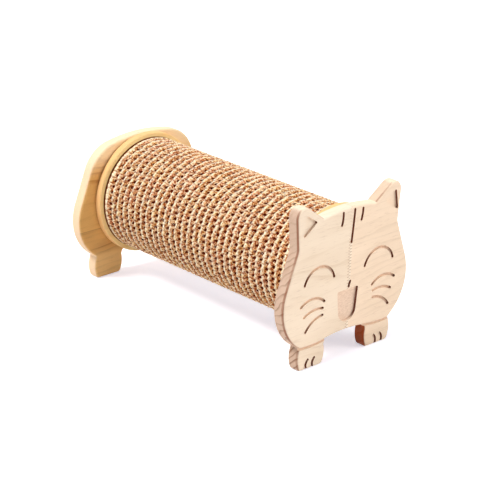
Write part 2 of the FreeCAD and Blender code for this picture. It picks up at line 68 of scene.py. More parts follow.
# Shape of a puff along its row, 0 at one binding and 1 at the next, and across the yarn
PUFF_SPOTS = np.array([0.0, 0.06, 0.14, 0.26, 0.40, 0.55, 0.68, 0.80, 0.91])
PUFF_PEAK = 0.7
PUFF_SHARPNESS = 0.85
PUFF_FULLNESS = 0.85
PUFF_HALF_WIDTH = 5.3 * MM
PUFF_HALF_HEIGHT = 2.8 * MM
PUFF_LEAN = 0.18
VALLEY_SHARE = 0.28
DIP_HALF_WIDTH = 3.6 * MM
DIP_HALF_HEIGHT = 1.4 * MM
DIP_DEPTH = 3.8 * MM
DIP_SHOULDER = 0.8
END_RISE = 0.8

# How far puffs and rows stray from an even pattern
PUFF_SIZE_SPREAD = 0.15
PUFF_JITTER = 0.55 * MM
PUFF_STRAY = 1.0 * MM
ROW_SHIFT = 2.0 * MM

# Painted shade on the yarns: along the row towards each puff's front foot, in the creases beside the puffs,
# and in the holes of the dips. The crest, free of it, gets a painted highlight
SLOPE_SPOTS = (0.0, 0.14, 0.3, 0.45, 0.56, 0.66, 0.93, 1.0)
SLOPE_SHADE = (0.8, 1.0, 1.0, 0.7, 0.35, 0.0, 0.0, 0.6)
CREASE_SPOTS = (0.0, 0.2, 0.35, 0.5, 0.65, 0.9, 1.0)
CREASE_SHADE = (0.1, 0.3, 0.9, 1.0, 0.8, 0.6, 0.1)
CREASE_FROM = 2.3 * MM
CREASE_WIDTH = 1.3 * MM
HOLE_FOCUS = 2.0
HOLE_SPREAD = 0.8
DIP_LIGHTNESS = 0.6

# Flat layout of the yarns for their material, in millimetres
LAYOUT_STEP = 17.0
PLY_WIDTH = 3.3
PLY_TURN = 9.0
PLY_WAVER = 0.3
STRAND_SCALES = (0.22, 0.6, 0.0)
STRAND_SLANT = math.radians(28)

# Ground cloth, binding threads and loose fibres of the mat
BACKING_LIFT = 0.4 * MM
BACKING_SEAM = 0.5 * MM
BACKING_STEPS = 240
THREAD_RADIUS = 0.4 * MM
THREAD_PROUD = 0.4
THREAD_SIDES = 5
THREAD_STEPS = 4
THREAD_WAVE = 0.7 * MM
FIBRES = 2600
FIBRE_LENGTH = 6.0 * MM
FIBRE_SHORTEST = 0.4
FIBRE_WIDTH = 0.16 * MM
FIBRE_ROOT = 0.5 * MM
FIBRE_LIFT = 1.3 * MM
FIBRE_LOWEST = 0.3
FIBRE_BOW = 0.12
FIBRE_STEPS = 4

# Boards: how far the year rings sway, in ring gaps
RING_SWAY = 5.5

# Face board: the finger joint down its middle, with a glue line and a painted highlight line beside it
JOINT_X = 1.8 * MM
JOINT_FADE_Z = (140 * MM, 133 * MM)
FINGER_PITCH = 3.4 * MM
FINGER_LENGTH = 4.6 * MM
FINGERS_FADE = (0.62 * FINGER_LENGTH, 0.5 * FINGER_LENGTH)
GLUE_FADE = (1.3 * MM, 0.3 * MM)
HIGHLIGHT_LINE_SHIFT = 1.8 * MM
HIGHLIGHT_LINE_FADE = (1.8 * MM, 0.6 * MM)

# Face board: year rings on its sides, and painted shade on the sides of the paws that look at each other
END_RING_LEAN = (0.0, 0.68, 0.73)
END_RING_GAP = 7.0 * MM
END_RING_SWAY = 4.5
END_RINGS_FADE_Z = (150 * MM, 105 * MM)
PAW_GAP_SHADE_FADE_X = (36 * MM, 31 * MM)
PAW_GAP_SHADE_FADE_Z = (36 * MM, 28 * MM)

# Face board: the engraving's depth, the most that a wall's normal leans to the front, and the height from
# which a mark is an ear's, whose floor keeps the board's wood
ENGRAVING_DEPTH = 2.8 * MM
DEPTH_TOLERANCE = 0.1 * MM
UPRIGHT = 0.05
EARS_FROM = 150 * MM

# Rear board: the line where two planks meet, paler wood towards its foot, and painted light towards its top
PLANK_LINE_Z = 63 * MM
PLANK_LINE_FADE = (0.6 * MM, 0.15 * MM)
PALER_FOOT_FADE_Z = (38 * MM, 26 * MM)
TOP_LIGHT_FADE_Z = (125 * MM, 155 * MM)

# Discs: painted shade of the gap where the mat ends
DISC_GAP_SHADE_FADE = (MAT_RADIUS + 0.1 * MM, MAT_RADIUS - 0.7 * MM)

# Camera at the photograph's place, and the photograph's focal length for a 36 mm wide sensor
CAMERA_PLACE = Vector((-1.398, -1.4761, 0.8675))
CAMERA_YAW = 0.7610
CAMERA_PITCH = 0.3689
CAMERA_ROLL = 0.0300
CAMERA_LENS = 143.77
SENSOR = 36.0

# Studio: where each broad light comes from, its strength and its spread; surroundings and floor
LIGHTS = {
    "overhead": ((-0.10, 0.05, 0.99), 1.0, math.radians(40)),
    "front_right": ((0.62, -0.68, 0.40), 1.48, math.radians(35)),
    "rear_left": ((-0.55, 0.22, 0.80), 2.4, math.radians(18)),
}
SKY_STRENGTH = 0.25
FLOOR_SIZE = 12.0
FLOOR_DROP = 0.2 * MM
FLOOR_COLOUR = (0.88, 0.86, 0.85, 1.0)
FLOOR_GLOW = 0.58
FLOOR_GLOW_COLOUR = (0.84, 0.87, 1.0, 1.0)

rng = np.random.default_rng(7)


def srgb(red, green, blue):
    """A colour as a screen shows it, 0 to 255, in the linear values that shaders take."""
    def linear(level):
        level /= 255
        return level / 12.92 if level <= 0.04045 else ((level + 0.055) / 1.055) ** 2.4
    return linear(red), linear(green), linear(blue), 1.0


class Nodes:
    """A material's node tree, built by short calls. A call's inputs are values or other nodes' outputs."""

    def __init__(self, name):
        self.material = bpy.data.materials.new(name)
        self.material.use_nodes = True
        self.tree = self.material.node_tree
        self.shader = self.tree.nodes["Principled BSDF"]

    def add(self, kind, inputs=None, **settings):
        node = self.tree.nodes.new(kind)
        for key, value in settings.items():
            setattr(node, key, value)
        for key, value in (inputs or {}).items():
            self.put(node.inputs[key], value)
        return node

    def put(self, socket, value):
        if isinstance(value, bpy.types.NodeSocket):
            self.tree.links.new(value, socket)
        else:
            socket.default_value = value

    def math(self, operation, *values):
        node = self.add("ShaderNodeMath", operation=operation)
        for socket, value in zip(node.inputs, values):
            self.put(socket, value)
        return node.outputs[0]

    def times(self, first, *others):
        for other in others:
            first = self.math("MULTIPLY", first, other)
        return first

    def absolute(self, value):
        return self.math("ABSOLUTE", value)

    def apart(self, first, second):
        """How far two values lie apart."""
        return self.absolute(self.math("SUBTRACT", first, second))

    def vector(self, operation, *values):
        node = self.add("ShaderNodeVectorMath", operation=operation)
        for socket, value in zip(node.inputs, values):
            self.put(socket, value)
        return node.outputs["Value" if operation in ("DOT_PRODUCT", "LENGTH") else "Vector"]

    def axes(self, vector):
        """A vector's parts, by the names X, Y and Z."""
        return self.add("ShaderNodeSeparateXYZ", {"Vector": vector}).outputs

    def place(self):
        return self.add("ShaderNodeTexCoord").outputs["Object"]

    def facing(self):
        """Which way the surface looks, by the names X, Y and Z."""
        return self.axes(self.add("ShaderNodeTexCoord").outputs["Normal"])

    def attribute(self, name):
        return self.add("ShaderNodeAttribute", attribute_name=name).outputs["Fac"]

    def noise(self, vector, scale, detail=2.0, roughness=0.5):
        node = self.add("ShaderNodeTexNoise", {"Vector": vector, "Scale": scale, "Detail": detail,
                                               "Roughness": roughness})
        return node.outputs["Fac"]

    def streaks(self, vector, scales, detail, roughness=0.5):
        """Noise with its own scale along each axis."""
        return self.noise(self.vector("MULTIPLY", vector, scales), 1.0, detail, roughness)

    def ramp(self, factor, *stops):
        """A colour ramp through (position, colour) stops."""
        node = self.add("ShaderNodeValToRGB", {"Fac": factor})
        elements = node.color_ramp.elements
        while len(elements) < len(stops):
            elements.new(1.0)
        for element, (position, colour) in zip(elements, stops):
            element.position = position
            element.color = colour
        return node.outputs["Color"]

    def level(self, factor, low, high, to_low=0.0, to_high=1.0):
        """Maps low..high to to_low..to_high, smoothly and clamped."""
        node = self.add("ShaderNodeMapRange", {"Value": factor, "From Min": low, "From Max": high,
                                               "To Min": to_low, "To Max": to_high},
                        interpolation_type="SMOOTHSTEP")
        return node.outputs["Result"]

    def mix(self, factor, first, second, blend="MIX"):
        node = self.add("ShaderNodeMix", data_type="RGBA", blend_type=blend)
        self.put(node.inputs["Factor"], factor)
        self.put(node.inputs["A"], first)
        self.put(node.inputs["B"], second)
        return node.outputs["Result"]

    def bump(self, height, strength, distance):
        node = self.add("ShaderNodeBump", {"Height": height, "Strength": strength, "Distance": distance})
        self.put(self.shader.inputs["Normal"], node.outputs["Normal"])

    def finish(self, colour, roughness, **plain):
        """Sets the shader; plain values are set on its own sockets, named with _ for spaces."""
        self.put(self.shader.inputs["Base Color"], colour)
        self.put(self.shader.inputs["Roughness"], roughness)
        for key, value in plain.items():
            self.shader.inputs[key.replace("_", " ")].default_value = value
        return self.material


def late_wood(nodes, place, lean, gap, sway, rise, fall):
    """Share of dark late wood, 0 to 1, in year rings that lie a gap apart along the lean."""
    run = nodes.math("DIVIDE", nodes.vector("DOT_PRODUCT", place, lean), gap)
    ring = nodes.math("FRACT", nodes.math("ADD", run, sway))
    return nodes.times(nodes.level(ring, *rise), nodes.level(ring, *fall))


def wood_tone(nodes, place, pale, dark, lean, ring_gap, seed):
    """Colour of one plank whose fibres run along X: year rings that come and go on a drifting ground."""
    moved = nodes.vector("ADD", place, (seed, seed * 0.7, seed * 1.3))
    sway = nodes.times(nodes.streaks(moved, (5.0, 24.0, 24.0), 3.0), RING_SWAY)
    late = late_wood(nodes, place, lean, ring_gap, sway, (0.45, 0.93), (1.0, 0.94))
    drift = nodes.streaks(moved, (9.0, 14.0, 30.0), 2.0)
    ground = nodes.mix(nodes.level(drift, 0.3, 0.7, 0.0, 0.35), pale, dark)
    return nodes.mix(nodes.times(late, nodes.level(drift, 0.38, 0.68, 0.08, 0.75)), ground, dark)


def across_fibres(nodes, facing):
    """1 on the faces that cut across the fibres, 0 on the others."""
    return nodes.level(nodes.absolute(facing["X"]), 0.35, 0.8)


def rounded_edge_shade(nodes, place, facing):
    """1 on the rounded front edge where it runs across the fibres, in patches: painted shade along the edge.
    """
    front = nodes.math("MULTIPLY", facing["Y"], -1.0)
    rounded = nodes.times(nodes.level(front, 0.05, 0.3), nodes.level(front, 0.96, 0.75))
    across = nodes.level(nodes.absolute(facing["X"]), 0.25, 0.6)
    patch = nodes.level(nodes.noise(place, 26.0, 1.0), 0.38, 0.62, 0.35, 0.85)
    return nodes.times(rounded, across, patch)


def end_grain(nodes, colour, place, across):
    """Darkens the faces that cut across the fibres, which drink more of the finish, most in the rings."""
    sway = nodes.times(nodes.streaks(place, (8.0, 22.0, 22.0), 3.0), END_RING_SWAY)
    late = late_wood(nodes, place, END_RING_LEAN, END_RING_GAP, sway, (0.55, 0.95), (1.0, 0.96))
    patch = nodes.level(nodes.noise(place, 45.0, 1.0), 0.35, 0.6, 0.4, 0.95)
    low = nodes.level(nodes.axes(place)["Z"], *END_RINGS_FADE_Z, 0.2, 1.0)
    colour = nodes.mix(across, colour, srgb(217, 202, 198), "MULTIPLY")
    return nodes.mix(nodes.times(across, late, patch, low), colour, srgb(136, 98, 74))


def finish_wood(nodes, colour, place):
    """Adds the pores, short fine streaks along the fibres, and a satin finish."""
    pore = nodes.level(nodes.streaks(place, (70.0, 900.0, 1100.0), 3.0, 0.6), 0.56, 0.74)
    colour = nodes.mix(nodes.times(pore, 0.22), colour, srgb(150, 104, 66), "MULTIPLY")
    nodes.bump(nodes.times(pore, -1.0), 0.25, 0.12 * MM)
    patch = nodes.noise(place, 60.0, 3.0)
    return nodes.finish(colour, nodes.level(patch, 0.3, 0.7, 0.48, 0.62), Specular_IOR_Level=0.2)


def finger_joint(nodes, at, left, right):
    """Joins two woods by pointed fingers, with a glue line and a painted highlight line beside it."""
    teeth = nodes.math("PINGPONG", at["Z"], FINGER_PITCH / 2)
    edge = nodes.math("MULTIPLY_ADD", teeth, 2 * FINGER_LENGTH / FINGER_PITCH, JOINT_X - FINGER_LENGTH / 2)
    offset = nodes.math("SUBTRACT", at["X"], edge)
    colour = nodes.mix(nodes.math("GREATER_THAN", offset, 0.0), left, right)
    clear = nodes.level(at["Z"], *JOINT_FADE_Z, 0.25, 1.0)
    fingers = nodes.level(nodes.apart(at["X"], JOINT_X), *FINGERS_FADE)
    # Painted highlight: a pale line beside the glue line
    painted_highlight = nodes.level(nodes.apart(offset, HIGHLIGHT_LINE_SHIFT), *HIGHLIGHT_LINE_FADE, 0.0, 0.7)
    colour = nodes.mix(nodes.times(painted_highlight, fingers, clear), colour, srgb(255, 244, 226))
    glue = nodes.level(nodes.absolute(offset), *GLUE_FADE, 0.0, 0.75)
    return nodes.mix(nodes.times(glue, clear), colour, srgb(186, 146, 112))


def face_wood():
    """Pale board of two lengths, joined end to end by fingers down the middle of the face."""
    nodes = Nodes("face_wood")
    place = nodes.place()
    at = nodes.axes(place)
    facing = nodes.facing()
    across = across_fibres(nodes, facing)
    left = wood_tone(nodes, place, srgb(244, 224, 200), srgb(225, 200, 172),
                     lean=(0.03, 0.75, 0.66), ring_gap=9.0 * MM, seed=0.31)
    right = wood_tone(nodes, place, srgb(247, 222, 195), srgb(232, 206, 178),
                      lean=(-0.05, 0.45, 0.89), ring_gap=10.0 * MM, seed=2.17)
    colour = finger_joint(nodes, at, left, right)
    colour = end_grain(nodes, colour, place, across)
    # Painted shade on the rounded front edge
    colour = nodes.mix(rounded_edge_shade(nodes, place, facing), colour, srgb(150, 96, 70))
    # Painted shade on the sides of the paws that face each other, under the belly
    paw_gap_shade = nodes.times(nodes.level(nodes.absolute(at["X"]), *PAW_GAP_SHADE_FADE_X),
                               nodes.level(at["Z"], *PAW_GAP_SHADE_FADE_Z))
    colour = nodes.mix(nodes.times(paw_gap_shade, across, 0.9), colour, srgb(156, 62, 0))
    return finish_wood(nodes, colour, place)


def rear_wood():
    """Warmer board of planks laid one over the other, with a dark line where two meet, paler towards its
    foot, and painted light on its edges and towards its top.
    """
    nodes = Nodes("rear_wood")
    place = nodes.place()
    height = nodes.axes(place)["Z"]
    upper = wood_tone(nodes, place, srgb(233, 183, 111), srgb(184, 124, 62),
                      lean=(0.04, 0.55, 0.83), ring_gap=10.0 * MM, seed=4.1)
    lower = wood_tone(nodes, place, srgb(228, 176, 106), srgb(122, 70, 24),
                      lean=(0.02, 0.3, 0.95), ring_gap=7.0 * MM, seed=6.7)
    # Paler towards the foot of the board
    lower = nodes.mix(nodes.level(height, *PALER_FOOT_FADE_Z, 0.0, 0.6), lower, srgb(246, 204, 140))
    # Painted light towards the top of the board
    upper = nodes.mix(nodes.level(height, *TOP_LIGHT_FADE_Z, 0.0, 0.7), upper, srgb(255, 228, 188))
    colour = nodes.mix(nodes.math("GREATER_THAN", height, PLANK_LINE_Z), lower, upper)
    line = nodes.level(nodes.apart(height, PLANK_LINE_Z), *PLANK_LINE_FADE, 0.0, 0.6)
    colour = nodes.mix(line, colour, srgb(150, 104, 62))
    # Painted light: the board's edges paler than their faces
    rim = nodes.level(nodes.absolute(nodes.facing()["Y"]), 0.9, 0.2, 0.0, 0.75)
    colour = nodes.mix(rim, colour, srgb(255, 226, 194))
    return finish_wood(nodes, colour, place)


def plain_wood(name, pale, dark, seed):
    """A quieter board for the discs and plugs, with painted shade on its rim and from the mat's edge inward.
    """
    nodes = Nodes(name)
    place = nodes.place()
    colour = wood_tone(nodes, place, pale, dark, lean=(0.1, 0.2, 0.97), ring_gap=14.0 * MM, seed=seed)
    # Painted shade on the rim, darker than the faces
    rim = nodes.level(nodes.absolute(nodes.facing()["Y"]), 0.95, 0.6, 0.0, 0.7)
    colour = nodes.mix(rim, colour, srgb(236, 184, 124))
    # Painted shade of the gap between the mat's end and the disc
    from_axis = nodes.vector("SUBTRACT", place, (0.0, 0.0, AXIS_Z))
    reach = nodes.vector("LENGTH", nodes.vector("MULTIPLY", from_axis, (1.0, 0.0, 1.0)))
    colour = nodes.mix(nodes.level(reach, *DISC_GAP_SHADE_FADE), colour, srgb(136, 62, 14))
    return finish_wood(nodes, colour, place)


def groove_wood(name, pale, dark):
    """Wood that the cutter has burnished, with painted shade on the walls that look left."""
    nodes = Nodes(name)
    streak = nodes.streaks(nodes.place(), (300.0, 500.0, 900.0), 3.0)
    colour = nodes.mix(nodes.level(streak, 0.3, 0.7), pale, dark)
    # Painted shade on the walls that look left
    left_wall_shade = nodes.level(nodes.facing()["X"], -0.35, -0.9, 0.0, 0.95)
    colour = nodes.mix(left_wall_shade, colour, srgb(100, 38, 8))
    nodes.bump(streak, 0.3, 0.15 * MM)
    return nodes.finish(colour, 0.7, Specular_IOR_Level=0.08)


def sisal():
    """Twisted plant-fibre yarn. A puff has its own tint, a painted highlight at its rear and painted shade at
    its front foot. Painted shade also darkens the creases beside it, and most of all the holes of the dips."""
    tip = srgb(255, 246, 220)
    brown = srgb(180, 86, 20)
    nodes = Nodes("sisal_yarn")
    flat = nodes.add("ShaderNodeUVMap", uv_map="yarn").outputs["UV"]
    strands = nodes.add("ShaderNodeVectorRotate",
                        {"Vector": nodes.vector("MULTIPLY", flat, STRAND_SCALES), "Angle": STRAND_SLANT},
                        rotation_type="Z_AXIS").outputs["Vector"]
    fibre = nodes.noise(strands, 1.0, 4.0, 0.65)
    split = nodes.vector("DOT_PRODUCT", flat, (1 / PLY_TURN, 1 / PLY_WIDTH, 0.0))
    ply = nodes.math("FRACT", nodes.math("ADD", split, nodes.times(fibre, PLY_WAVER)))
    ply_line = nodes.level(nodes.apart(ply, 0.5), 0.3, 0.5)
    place = nodes.place()
    cloud = nodes.noise(place, 300.0, 2.0)
    fleck = nodes.noise(place, 520.0, 1.0)
    tint = nodes.attribute("tint")
    slope = nodes.attribute("slope")

    colour = nodes.mix(tint, srgb(255, 212, 170), srgb(255, 230, 160))
    colour = nodes.mix(nodes.level(cloud, 0.42, 0.62, 0.0, 0.8), colour, tip)
    colour = nodes.mix(nodes.level(fibre, 0.48, 0.38), colour, tip)
    # Painted highlight on each puff's crest at its rear
    crest_highlight = nodes.times(nodes.level(slope, 0.45, 0.0), nodes.level(cloud, 0.4, 0.6, 0.5, 1.0))
    colour = nodes.mix(crest_highlight, colour, srgb(255, 247, 222))

    body = nodes.ramp(tint, (0.0, srgb(250, 176, 124)), (0.3, srgb(252, 196, 134)),
                      (0.7, srgb(246, 192, 122)), (1.0, srgb(255, 200, 116)))
    # Painted shade along each puff towards its front foot, tan and then brown
    colour = nodes.mix(nodes.level(slope, 0.1, 0.6, 0.0, 0.85), colour, body)
    colour = nodes.mix(nodes.level(slope, 0.2, 0.75, 0.0, 0.48), colour, brown)
    # Fibre, ply and dark fleck marks, stronger where the painted shade along the puff lies
    shade_zone = nodes.level(slope, 0.0, 0.5, 0.35, 1.0)
    for stain, tone in ((nodes.level(fibre, 0.52, 0.62, 0.0, 0.6), brown),
                        (nodes.times(ply_line, 0.35), brown),
                        (nodes.level(fleck, 0.46, 0.40, 0.0, 0.9), srgb(146, 58, 10))):
        colour = nodes.mix(nodes.times(stain, shade_zone), colour, tone)
    # Pale flecks: partly pale fibres, partly painted glints
    colour = nodes.mix(nodes.level(fleck, 0.54, 0.61, 0.0, 0.75), colour, srgb(255, 234, 194))

    # Painted shade on the yarns' sides, where they turn away from the top
    low = nodes.level(nodes.attribute("height"), 0.65, 0.15)
    colour = nodes.mix(low, colour, srgb(124, 48, 4))
    # Painted shade in the creases beside the puffs
    crease = nodes.times(nodes.level(nodes.attribute("between"), 0.45, 0.95), nodes.attribute("crease"))
    colour = nodes.mix(crease, colour, srgb(164, 94, 54), "MULTIPLY")
    # Painted shade in the holes of the dips
    hole = nodes.level(nodes.attribute("hole"), 0.14, 0.64)
    colour = nodes.mix(hole, colour, srgb(98, 34, 4), "MULTIPLY")
    nodes.bump(nodes.math("SUBTRACT", fibre, ply_line), 0.9, 0.7 * MM)
    return nodes.finish(colour, 0.9, Specular_IOR_Level=0.02)


def backing_cloth():
    """The coarse dark ground that shows in the gaps of the weave."""
    nodes = Nodes("mat_backing")
    place = nodes.place()
    fleck = nodes.noise(place, 700.0, 3.0)
    patch = nodes.noise(place, 130.0, 2.0)
    ground = nodes.mix(nodes.level(patch, 0.35, 0.65), srgb(170, 72, 18), srgb(186, 104, 30))
    colour = nodes.mix(nodes.level(fleck, 0.35, 0.65), srgb(130, 52, 6), ground)
    nodes.bump(fleck, 0.6, 0.4 * MM)
    return nodes.finish(colour, 0.9, Specular_IOR_Level=0.05)


def thread_yarn():
    """Thin brown twine."""
    nodes = Nodes("binding_thread")
    fleck = nodes.noise(nodes.place(), 900.0, 2.0)
    colour = nodes.mix(nodes.level(fleck, 0.35, 0.65), srgb(168, 94, 40), srgb(112, 44, 8))
    nodes.bump(fleck, 0.5, 0.2 * MM)
    return nodes.finish(colour, 0.85, Specular_IOR_Level=0.05)


def single_fibre():
    """Pale plant fibre, browner in places."""
    nodes = Nodes("loose_fibre")
    tone = nodes.noise(nodes.place(), 80.0, 1.0)
    colour = nodes.mix(nodes.level(tone, 0.3, 0.7), srgb(250, 232, 206), srgb(222, 180, 140))
    return nodes.finish(colour, 0.75)


def metal(name, colour, scratch, roughness):
    """Turned metal: fine rings round the drum's axis and a cloudy finish."""
    nodes = Nodes(name)
    place = nodes.place()
    lines = nodes.streaks(place, (900.0, 4000.0, 900.0), 2.0)
    cloud = nodes.noise(place, 120.0, 3.0)
    shade = nodes.mix(nodes.level(cloud, 0.3, 0.7), colour, scratch)
    nodes.bump(lines, 0.15, 0.03 * MM)
    return nodes.finish(shade, nodes.level(cloud, 0.3, 0.7, roughness, roughness + 0.15), Metallic=1.0)


def nylon():
    """White bearing plastic, a little cloudy."""
    nodes = Nodes("nylon")
    cloud = nodes.noise(nodes.place(), 220.0, 3.0)
    colour = nodes.mix(nodes.level(cloud, 0.3, 0.7), srgb(240, 238, 230), srgb(226, 222, 212))
    nodes.bump(cloud, 0.1, 0.05 * MM)
    return nodes.finish(colour, 0.42, Subsurface_Weight=0.1)


def kraft_board():
    """Brown paper board with its fibres drawn out along the tube."""
    nodes = Nodes("kraft_board")
    fleck = nodes.streaks(nodes.place(), (500.0, 120.0, 500.0), 4.0)
    colour = nodes.mix(nodes.level(fleck, 0.3, 0.7), srgb(186, 146, 104), srgb(158, 118, 80))
    nodes.bump(fleck, 0.3, 0.1 * MM)
    return nodes.finish(colour, 0.85)


def dress(node, *materials):
    """Gives a carried-over piece its materials."""
    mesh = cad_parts[node].data
    mesh.materials.clear()
    for material in materials:
        mesh.materials.append(material)


def dress_face():
    """The front board: wood, with the engraving's walls and floors in their own finish."""
    dress("front_panel", face_wood(),
          groove_wood("groove_wall", srgb(255, 236, 216), srgb(250, 224, 200)),
          groove_wood("groove_floor", srgb(241, 213, 190), srgb(225, 195, 170)))
    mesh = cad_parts["front_panel"].data
    for face in mesh.polygons:
        depths = [mesh.vertices[index].co.y - FACE_Y for index in face.vertices]
        if max(depths) > ENGRAVING_DEPTH + DEPTH_TOLERANCE:
            continue
        if abs(face.normal.y) < UPRIGHT:
            face.material_index = 1
        elif min(depths) > ENGRAVING_DEPTH - DEPTH_TOLERANCE and face.center.z < EARS_FROM:
            face.material_index = 2


def dress_hard_pieces():
    """All the carried-over pieces except the mat."""
    dress_face()
    dress("rear_panel", rear_wood())
    disc = plain_wood("disc_wood", srgb(255, 222, 158), srgb(255, 206, 136), seed=9.3)
    plug = plain_wood("plug_wood", srgb(226, 196, 152), srgb(188, 150, 104), seed=11.9)
    steel = metal("zinc_steel", srgb(202, 204, 206), srgb(176, 178, 182), 0.3)
    brass = metal("brass", srgb(214, 178, 104), srgb(186, 146, 76), 0.32)
    white = nylon()
    for end in ("front", "rear"):
        dress(f"{end}_disc", disc)
        dress(f"{end}_plug", plug)
        dress(f"{end}_bush", white)
        dress(f"{end}_disc_screws", steel)
    dress("axle", steel)
    dress("rear_bolt", steel)
    dress("front_insert", brass)
    dress("core_tube", kraft_board())


def grid_faces(rows, columns, copies=1):
    """Quads of one or more grids of points, each laid row after row."""
    corner = np.arange(rows - 1)[:, None] * columns + np.arange(columns - 1)
    one = np.stack([corner, corner + 1, corner + columns + 1, corner + columns], axis=-1).reshape(-1, 4)
    first = np.arange(copies) * rows * columns
    return (one + first[:, None, None]).reshape(-1, 4)


def round_axis(radius, angle, along):
    """Points round the drum's axis, at angles that start at +X and rise over the top."""
    return np.stack([radius * np.cos(angle), along, AXIS_Z + radius * np.sin(angle)], axis=-1)


def new_piece(name, points, faces, material, attributes=None, flat=None):
    """A mesh with float attributes per point and, if given, a flat layout for its texture."""
    mesh = bpy.data.meshes.new(name)
    mesh.from_pydata(points.reshape(-1, 3), [], faces)
    mesh.polygons.foreach_set("use_smooth", np.ones(len(mesh.polygons), bool))
    for key, values in (attributes or {}).items():
        layer = mesh.attributes.new(key, "FLOAT", "POINT")
        layer.data.foreach_set("value", values.ravel().astype(np.float32))
    if flat is not None:
        layer = mesh.uv_layers.new(name="yarn")
        loops = np.zeros(len(mesh.loops), np.int32)
        mesh.loops.foreach_get("vertex_index", loops)
        layer.data.foreach_set("uv", flat.reshape(-1, 2)[loops].ravel().astype(np.float32))
    mesh.update()
    mesh.materials.append(material)
    piece = bpy.data.objects.new(name, mesh)
    bpy.context.scene.collection.objects.link(piece)
    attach(piece, "roller")
    return piece


def puff_profile():
    """Places along a yarn, in rows, and how far it has risen there: 0 at a binding, 1 at the crest."""
    to_peak = math.log(0.5) / math.log(PUFF_PEAK)
    swell = np.sin(math.pi * PUFF_SPOTS ** to_peak)
    rise = np.clip((swell - VALLEY_SHARE) / (1 - VALLEY_SHARE), 0, 1) ** PUFF_SHARPNESS
    part = np.append((np.arange(ROWS)[:, None] + PUFF_SPOTS).ravel(), ROWS)
    rise = np.append(np.tile(rise, ROWS), 0)
    rise[(part < PUFF_PEAK) | (part > ROWS - 1 + PUFF_PEAK)] = END_RISE
    return part, rise


def wander(part, row_shift):
    """How far the yarns stand to one side at a place along them, in rows. Each row leads them its own way."""
    return np.interp(part, np.arange(ROWS) + PUFF_PEAK, row_shift)


def mat_yarns(row_shift):
    """Thick yarns along the drum, with what their material needs to know at each point."""
    part, rise = puff_profile()
    row = np.minimum(part.astype(int), ROWS - 1)
    inward = np.minimum(1, np.minimum(part, ROWS - part))
    size = 1 + rng.normal(0, PUFF_SIZE_SPREAD, (YARNS, ROWS))[:, row] * rise
    sway = wander(part, row_shift) + rng.normal(0, PUFF_JITTER, (YARNS, ROWS))[:, row] * rise
    tint = rng.uniform(0, 1, (YARNS, ROWS))[:, row]
    stray = rng.normal(0, PUFF_STRAY, (YARNS, ROWS))[:, row] * rise * inward
    wide = (DIP_HALF_WIDTH + (PUFF_HALF_WIDTH - DIP_HALF_WIDTH) * rise ** PUFF_FULLNESS) * size
    tall = (DIP_HALF_HEIGHT + (PUFF_HALF_HEIGHT - DIP_HALF_HEIGHT) * rise) * size

    # From here on the axes are: the yarn, the place along it, and the turn round it
    turn = np.linspace(-YARN_WRAP, YARN_WRAP, YARN_SIDES + 1)
    aslant = np.abs(np.sin(turn))
    dip = (1 - rise)[:, None]
    sag = DIP_DEPTH * dip * (1 - DIP_SHOULDER * aslant)
    radius = (MAT_RADIUS - tall)[..., None] - sag + tall[..., None] * np.cos(turn)
    across = wide[..., None] * np.sin(turn)
    aside = sway[..., None] + across
    middle = ((np.arange(YARNS) + 0.5) * (2 * math.pi / YARNS))[:, None, None]
    lean = PUFF_LEAN * across * inward[:, None]
    along = (MAT_LOW[1] + part * ROW_PITCH)[:, None] + stray[..., None] + lean
    points = round_axis(radius, middle + aside / radius, along)

    # Marks for the material: each puff's tint, and where it paints shade and highlight
    marks = {
        "tint": tint[..., None],
        "height": np.clip(np.cos(turn) + DIP_LIGHTNESS * dip, 0, 1),
        "slope": np.interp(part % 1, SLOPE_SPOTS, SLOPE_SHADE)[:, None],
        "hole": dip ** HOLE_FOCUS * np.clip(1 - aslant / HOLE_SPREAD, 0, 1),
        "between": np.clip((np.abs(across) - CREASE_FROM) / CREASE_WIDTH, 0, 1),
        "crease": np.interp(part % 1, CREASE_SPOTS, CREASE_SHADE)[:, None],
    }
    marks = {name: np.broadcast_to(values, radius.shape) for name, values in marks.items()}
    lengths = np.broadcast_to((part * ROW_PITCH / MM)[:, None], radius.shape)
    rounds = aside / MM + np.arange(YARNS)[:, None, None] * LAYOUT_STEP
    return new_piece("sisal_yarns", points, grid_faces(len(part), len(turn), YARNS), sisal(),
                     marks, np.stack([lengths, rounds], axis=-1))


def mat_backing():
    """The ground cloth between the yarns and the tube."""
    angle = np.linspace(0, 2 * math.pi, BACKING_STEPS + 1)
    angle[-1] -= BACKING_SEAM / TUBE_RADIUS
    along = np.linspace(MAT_LOW[1], MAT_HIGH[1], ROWS + 1)
    radius = np.full((len(along), len(angle)), TUBE_RADIUS + BACKING_LIFT)
    points = round_axis(radius, angle, np.broadcast_to(along[:, None], radius.shape))
    return new_piece("mat_backing", points, grid_faces(*radius.shape), backing_cloth())


def binding_threads(row_shift):
    """Thin threads round the drum that hold the yarns down between the rows of puffs."""
    angle = np.linspace(0, 2 * math.pi, YARNS * THREAD_STEPS + 1)
    turn = np.linspace(0, 2 * math.pi, THREAD_SIDES + 1)
    top = MAT_RADIUS - DIP_DEPTH + THREAD_RADIUS * THREAD_PROUD
    threads = []
    for row in range(1, ROWS):
        wave = np.cos((angle - wander(row, row_shift) / top) * YARNS + math.pi)
        radius = (top - THREAD_WAVE + THREAD_WAVE * wave)[:, None] + THREAD_RADIUS * np.cos(turn)
        along = MAT_LOW[1] + row * ROW_PITCH + THREAD_RADIUS * np.sin(turn)
        threads.append(round_axis(radius, angle[:, None], np.broadcast_to(along, radius.shape)))
    faces = grid_faces(len(angle), len(turn), len(threads))
    return new_piece("binding_threads", np.stack(threads), faces, thread_yarn())


